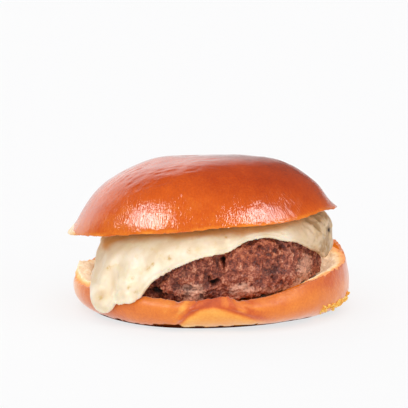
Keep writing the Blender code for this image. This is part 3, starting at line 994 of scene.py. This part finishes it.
class Nodes:
    """Short ways to add nodes to a material or a world."""

    def __init__(self, owner):
        owner.use_nodes = True
        self.tree = owner.node_tree

    def node(self, kind, **properties):
        made = self.tree.nodes.new(kind)
        for name, value in properties.items():
            setattr(made, name, value)
        return made

    def join(self, value, socket):
        """Links a socket, or sets a plain value."""
        if isinstance(value, bpy.types.NodeSocket):
            self.tree.links.new(value, socket)
        else:
            socket.default_value = value

    def set(self, node, **inputs):
        """Sets inputs by name, with underscores for spaces."""
        for name, value in inputs.items():
            self.join(value, node.inputs[name.replace("_", " ")])

    def math(self, operation, first, second):
        node = self.node("ShaderNodeMath", operation=operation)
        self.join(first, node.inputs[0])
        self.join(second, node.inputs[1])
        return node.outputs[0]

    def span(self, value, low, high, to_low=0.0, to_high=1.0):
        """Value from low to high mapped smoothly onto to_low to to_high."""
        node = self.node("ShaderNodeMapRange", interpolation_type="SMOOTHSTEP")
        self.set(node, Value=value, From_Min=low, From_Max=high, To_Min=to_low, To_Max=to_high)
        return node.outputs["Result"]

    def blend(self, share, first, second):
        """The second shader mixed into the first by a share."""
        node = self.node("ShaderNodeMixShader")
        for socket, value in zip(node.inputs, (share, first, second)):
            self.join(value, socket)
        return node.outputs[0]


class Surface(Nodes):
    """A material made of nodes. Sizes are in millimetres."""

    def __init__(self, name, **settings):
        self.material = bpy.data.materials.new(name)
        super().__init__(self.material)
        self.shader = self.tree.nodes["Principled BSDF"]
        self.set(self.shader, **settings)
        scaled = self.node("ShaderNodeVectorMath", operation="SCALE")
        self.join(self.node("ShaderNodeTexCoord").outputs["Object"], scaled.inputs[0])
        self.set(scaled, Scale=1 / MM)
        self.place = scaled.outputs[0]

    def value(self, name):
        return self.node("ShaderNodeAttribute", attribute_name=name).outputs["Fac"]

    def vector(self, name):
        return self.node("ShaderNodeAttribute", attribute_name=name).outputs["Vector"]

    def noise(self, size, detail=2.0, place=None):
        node = self.node("ShaderNodeTexNoise")
        self.set(node, Vector=place or self.place, Scale=1 / size, Detail=detail)
        return node.outputs["Fac"]

    def cells(self, size):
        node = self.node("ShaderNodeTexVoronoi")
        self.set(node, Vector=self.place, Scale=1 / size)
        return node.outputs["Distance"]

    def swing(self, value, size):
        """A value from 0 to 1 turned into a change of at most size / 2 either way."""
        return self.math("MULTIPLY", self.math("SUBTRACT", value, 0.5), size)

    def sum(self, *values):
        total = values[0]
        for value in values[1:]:
            total = self.math("ADD", total, value)
        return total

    def ramp(self, value, *stops):
        """Colour along stops of (position, sRGB colour)."""
        node = self.node("ShaderNodeValToRGB")
        self.join(value, node.inputs["Fac"])
        elements = node.color_ramp.elements
        while len(elements) < len(stops):
            elements.new(0.5)
        for element, (position, colour) in zip(elements, stops):
            element.position = position
            element.color = srgb(*colour)
        return node.outputs["Color"]

    def mix(self, share, first, second):
        """The second colour mixed into the first. Plain colours are given from 0 to 255."""
        node = self.node("ShaderNodeMix", data_type="RGBA")
        self.join(share, node.inputs[0])
        for socket, colour in ((node.inputs[6], first), (node.inputs[7], second)):
            self.join(srgb(*colour) if isinstance(colour, tuple) else colour, socket)
        return node.outputs[2]

    def tint(self, colour, share, amount, tinge):
        """Colour mixed towards the tinge by an amount, where share is 1."""
        return self.mix(self.math("MULTIPLY", share, amount), colour, tinge)

    def bump(self, height, depth, normal=None):
        """Shading of a relief of some depth, on top of another one."""
        node = self.node("ShaderNodeBump")
        self.set(node, Height=height, Distance=depth * MM, Strength=1.0)
        if normal:
            self.join(normal, node.inputs["Normal"])
        return node.outputs["Normal"]

    def finish(self, **inputs):
        self.set(self.shader, **inputs)
        return self.material


CRUST_STOPS = (
    (0.0, (250, 208, 126)), (0.18, (245, 172, 74)), (0.36, (232, 129, 39)),
    (0.56, (206, 87, 21)), (0.76, (176, 62, 13)), (1.0, (128, 38, 9)),
)


def crust_material(name, roughness, specular, sheen=0.0, streaked=False):
    """Baked, glazed crust whose colour follows its browning value: mostly how brown it is baked,
    with painted shade and a painted sheen where the bottom bun's values carry them.
    """
    s = Surface(
        name, IOR=1.5, Sheen_Weight=sheen, Sheen_Roughness=0.4, Specular_IOR_Level=specular
    )
    brown = s.sum(
        s.value("browning"), s.swing(s.noise(5, 4), 0.16), s.swing(s.noise(0.8, 2), 0.2)
    )
    colour = s.ramp(brown, *CRUST_STOPS)
    # Dark brown of the bottom bun's base: its baked colour, with painted shade along its lowest
    # edge.
    colour = s.mix(s.value("base"), colour, (66, 22, 6))
    fine = s.bump(s.noise(0.7, 1), 0.06)
    gloss = s.span(s.noise(1.1, 3), 0.3, 0.75, roughness * 0.85, roughness * 1.35)
    if streaked:
        lines = s.noise(0.42, 1, s.vector("streak"))
        lines = s.math("MULTIPLY", lines, s.value("streaked"))
        fine = s.bump(lines, 0.12, fine)
    return s.finish(Base_Color=colour, Roughness=gloss, Normal=fine)


def crumb_material(name, glow=0.0):
    """Soft inside of the bread, toasted towards the crust. Its glow is painted light that lifts the
    crumb where it lies in shade.
    """
    s = Surface(
        name, Roughness=0.85, Specular_IOR_Level=0.25,
        Emission_Color=srgb(255, 212, 166), Emission_Strength=glow,
    )
    toast = s.sum(s.value("toast"), s.swing(s.noise(2.2, 3), 0.5))
    colour = s.ramp(
        toast, (0.0, (252, 236, 212)), (0.4, (250, 220, 176)), (0.75, (240, 172, 92)),
        (1.0, (218, 122, 46)),
    )
    # Painted shade: the crumb's pores are tinted a darker gold.
    colour = s.tint(colour, s.value("pits"), 0.4, (240, 186, 112))
    return s.finish(Base_Color=colour, Normal=s.bump(s.noise(0.6, 3), 0.25))


def flake_material():
    """Golden flakes between crust and crumb."""
    s = Surface("crust_flakes", Roughness=0.75)
    colour = s.ramp(
        s.noise(1.5, 2), (0.3, (228, 146, 48)), (0.5, (246, 194, 86)), (0.7, (254, 226, 140))
    )
    return s.finish(Base_Color=colour)


def patty_material():
    """Griddled ground beef: brown grains, pale fat and seared patches, with painted shade darkening
    its crevices and holes.
    """
    s = Surface("beef", Specular_IOR_Level=0.55)
    tone = s.sum(
        s.math("MULTIPLY", s.value("grain"), 0.45),
        s.swing(s.span(s.noise(0.7, 2), 0.35, 0.65), 0.34),
        s.swing(s.span(s.noise(2.0, 3), 0.35, 0.65), 0.4), 0.31,
    )
    colour = s.ramp(
        tone, (0.0, (88, 32, 20)), (0.3, (130, 56, 36)), (0.55, (170, 86, 59)),
        (0.8, (202, 124, 92)), (1.0, (234, 180, 150)),
    )
    mauve = s.span(s.noise(4.5, 3), 0.54, 0.7)
    colour = s.tint(colour, mauve, 0.25, (152, 104, 98))
    sear = s.span(s.sum(s.value("seared"), s.swing(s.noise(1.6, 3), 0.9)), 0.25, 0.9)
    seared = s.ramp(
        s.sum(tone, s.swing(s.noise(3.4, 3), 0.5)), (0.1, (84, 28, 16)), (0.5, (156, 68, 38)),
        (0.9, (208, 118, 76)),
    )
    colour = s.tint(colour, sear, 0.85, seared)
    fat = s.span(s.sum(s.value("pale"), s.swing(s.noise(1.0, 4), 1.7)), 0.45, 1.05)
    colour = s.tint(colour, fat, 0.72, (240, 180, 150))
    # Painted shade in the crevices, and near black in the deeper holes.
    dark = s.span(s.sum(s.value("crevice"), s.swing(s.noise(0.9, 2), 0.3)), 0.2, 1.0)
    colour = s.tint(colour, dark, 0.8, (70, 24, 16))
    colour = s.mix(s.value("hollow"), colour, (26, 12, 9))
    wet = s.span(s.noise(1.8, 3), 0.35, 0.7, 0.34, 0.62)
    rough = s.bump(s.noise(0.7, 3), 0.35)
    return s.finish(Base_Color=colour, Roughness=wet, Normal=s.bump(s.cells(0.9), 0.3, rough))


def cheese_material():
    """Melted white cheese: creamy and half glossy, browned in places, with golden specks. Painted
    shade lies under the top bun, in its folds, in the valley and in a hole.
    """
    s = Surface(
        "melted_cheese", Subsurface_Weight=0.5, Subsurface_Scale=1.6 * MM,
        Subsurface_Radius=(1.0, 0.7, 0.35), Specular_IOR_Level=0.3,
    )
    cream = s.ramp(
        s.noise(6, 5), (0.34, (233, 215, 184)), (0.5, (242, 228, 202)), (0.66, (248, 238, 217))
    )
    yellow = s.span(s.noise(3.5, 4), 0.56, 0.75)
    cream = s.tint(cream, yellow, 0.5, (230, 206, 142))
    tan_tint = s.sum(s.value("tan_tint"), s.swing(s.noise(3, 3), 0.5))
    cream = s.tint(cream, s.span(tan_tint, 0.1, 0.9), 0.85, (206, 175, 138))
    # Painted shade, warm brown, under the top bun's edge.
    cream = s.tint(cream, s.value("contact"), 0.85, (208, 138, 58))
    # Brown mottling, with painted shade in the fold and between the wrinkles.
    mottle_and_fold_shade = s.span(s.sum(s.value("mottle_and_fold_shade"), s.swing(s.noise(1.3, 3), 1.0)), 0.15, 0.9)
    cream = s.tint(cream, mottle_and_fold_shade, 0.75, (160, 122, 78))
    # Painted shade in the valley between the lobes and round the dimple.
    cream = s.tint(cream, s.value("valley_shade"), 0.55, (206, 168, 122))
    uneven = s.span(s.noise(1.2, 3), 0.32, 0.56, 0.25, 0.9)
    cream = s.tint(cream, s.value("speck"), uneven, (200, 156, 52))
    # Painted shade: the inside of the hole is painted near black.
    cream = s.mix(s.value("hole"), cream, (40, 26, 30))
    fine = s.bump(s.noise(1.6, 3), 0.16)
    gloss = s.span(s.noise(3, 3), 0.35, 0.7, 0.28, 0.5)
    return s.finish(Base_Color=cream, Roughness=gloss, Normal=fine)


# ---- Light, floor and camera --------------------------------------------------------------------

VIEW_ELEVATION = 10.5
VIEW_DISTANCE = 1500
VIEW_WIDTH = 163.2  # millimetres across the picture at the burger's axis
VIEW_MIDDLE = (-2.8, 40.6)  # right of and above the axis' foot, as the camera sees it
SENSOR = 36
CAMERA_REACH = 20  # metres

# The room is white behind the burger, a little to its left, and darker elsewhere.
ROOM_BRIGHT_SIDE = (-0.38, 0.88, 0.28)
ROOM_DARK, ROOM_BRIGHT = 0.15, 1.4
ROOM_EDGES = (0.82, 0.98)  # cosines of the angles from that side between which it brightens
BACKDROP = (0.95, 0.95, 0.955, 1)  # what the camera sees past the floor
FLOOR_SIZE = 12  # metres
FLOOR_LEVEL = -0.05  # millimetres, so that the bun's base never lies in the floor's own plane
FLOOR_LIGHT = (0.99, 0.99, 0.995, 1)
FLOOR_WHITE = 0.75
FLOOR_GLOW = 0.74  # share of the floor's brightness that no shadow takes away

SOFTBOX_DISTANCE = 3600
SOFTBOX_AIM = 30  # height of the point they face
SOFTBOXES = (  # direction from the burger, width, height, radiance; they are only mirrored
    ((-0.64, -0.24, 0.69), 1600, 1100, 14.5),
    ((0.5, -0.26, 0.66), 1200, 900, 15.0),
)
FILL_SPREAD = 80  # degrees
FILLS = (  # direction from the burger, strength; they light without being mirrored
    ((-0.3, -0.85, 0.7), 1.4), ((0.5, -0.9, 0.45), 0.92), ((0.0, 0.3, 1.0), 1.5),
    ((-0.9, -0.3, 0.45), 0.5), ((0.9, -0.35, 0.45), 0.6),
)


def add_camera():
    rise = np.radians(VIEW_ELEVATION)
    ahead = np.array([0, np.cos(rise), -np.sin(rise)])
    upward = np.array([0, np.sin(rise), np.cos(rise)])
    target = axis_place() + np.array([VIEW_MIDDLE[0], 0, 0]) + upward * VIEW_MIDDLE[1]
    camera = bpy.data.cameras.new("camera")
    camera.sensor_width = SENSOR
    camera.lens = SENSOR * VIEW_DISTANCE / VIEW_WIDTH
    camera.clip_end = CAMERA_REACH
    view = placed("camera", camera)
    view.location = Vector((target - ahead * VIEW_DISTANCE) * MM)
    view.rotation_euler = Vector(ahead).to_track_quat("-Z", "Y").to_euler()
    bpy.context.scene.camera = view


def add_fill(number, direction, strength):
    light = bpy.data.lights.new(f"fill_{number}", "SUN")
    light.angle = np.radians(FILL_SPREAD)
    light.energy = strength
    fill = placed(light.name, light)
    fill.rotation_euler = Vector(direction).to_track_quat("Z", "Y").to_euler()
    fill.visible_glossy = False


def add_softbox(number, direction, width, height, radiance):
    light = bpy.data.lights.new(f"softbox_{number}", "AREA")
    light.shape = "RECTANGLE"
    light.size, light.size_y = width * MM, height * MM
    light.energy = radiance * np.pi * light.size * light.size_y
    box = placed(light.name, light)
    toward = Vector(direction).normalized()
    box.location = (toward * SOFTBOX_DISTANCE + Vector((0, 0, SOFTBOX_AIM))) * MM
    box.rotation_euler = toward.to_track_quat("Z", "Y").to_euler()
    box.visible_diffuse = False


def add_world():
    """A white room, brighter on one side. The camera sees it as bright as the floor."""
    world = bpy.data.worlds.new("white_studio")
    n = Nodes(world)
    toward = n.node("ShaderNodeVectorMath", operation="DOT_PRODUCT")
    n.join(n.node("ShaderNodeTexCoord").outputs["Generated"], toward.inputs[0])
    n.join(Vector(ROOM_BRIGHT_SIDE).normalized(), toward.inputs[1])
    strength = n.span(toward.outputs["Value"], *ROOM_EDGES, ROOM_DARK, ROOM_BRIGHT)
    light, backdrop = n.tree.nodes["Background"], n.node("ShaderNodeBackground")
    n.set(light, Color=(1, 1, 1, 1), Strength=strength)
    n.set(backdrop, Color=BACKDROP)
    seen = n.node("ShaderNodeLightPath").outputs["Is Camera Ray"]
    room = n.blend(seen, light.outputs[0], backdrop.outputs[0])
    n.join(room, n.tree.nodes["World Output"].inputs["Surface"])
    bpy.context.scene.world = world


def floor_material():
    """White card that glows a little, so that only contact shadows show on it. Clear from below."""
    colour = (FLOOR_WHITE, FLOOR_WHITE, FLOOR_WHITE, 1)
    s = Surface("white_floor", Roughness=1.0, Base_Color=colour, Specular_IOR_Level=0.0)
    glow = s.node("ShaderNodeEmission")
    s.set(glow, Color=FLOOR_LIGHT)
    both = s.blend(FLOOR_GLOW, s.shader.outputs[0], glow.outputs[0])
    below = s.node("ShaderNodeNewGeometry").outputs["Backfacing"]
    sided = s.blend(below, both, s.node("ShaderNodeBsdfTransparent").outputs[0])
    s.join(sided, s.tree.nodes["Material Output"].inputs["Surface"])
    return s.material


def add_floor():
    far, level = FLOOR_SIZE / 2, FLOOR_LEVEL * MM
    corners = [(x * far, y * far, level) for x, y in ((-1, -1), (1, -1), (1, 1), (-1, 1))]
    floor = placed("floor", new_mesh("floor", corners, [(0, 1, 2, 3)], [floor_material()]))


def dress():
    # The bottom bun's open crumb glows: painted light.
    crumb, open_crumb = crumb_material("bread_crumb"), crumb_material("open_crumb", glow=0.31)
    base_crust = crust_material("base_crust", roughness=0.9, specular=0.0)
    heel_crust = crust_material("bottom_crust", roughness=0.46, specular=0.4, sheen=0.75)
    crown_crust = crust_material("top_crust", roughness=0.08, specular=0.6, streaked=True)
    heel_looks, crown_looks = (heel_crust, open_crumb, base_crust, crumb), (crown_crust, crumb)
    heel_masks = ("crumb", "matt", "covered")
    add_piece("heel_bun", "heel", heel_surface(), heel_looks, heel_masks)
    add_flakes("crust_flakes", flake_material())
    add_piece("beef_patty", "patty", patty_surface(), (patty_material(),))
    add_piece("cheese_slice", "cheese", cheese_surface(), (cheese_material(),))
    add_piece("crown_bun", "crown", crown_surface(), crown_looks, ("crumb",))


dress()
add_floor()
add_world()
for number, softbox in enumerate(SOFTBOXES, 1):
    add_softbox(number, *softbox)
for number, fill in enumerate(FILLS, 1):
    add_fill(number, *fill)
add_camera()
bpy.context.scene.view_settings.view_transform = "Standard"
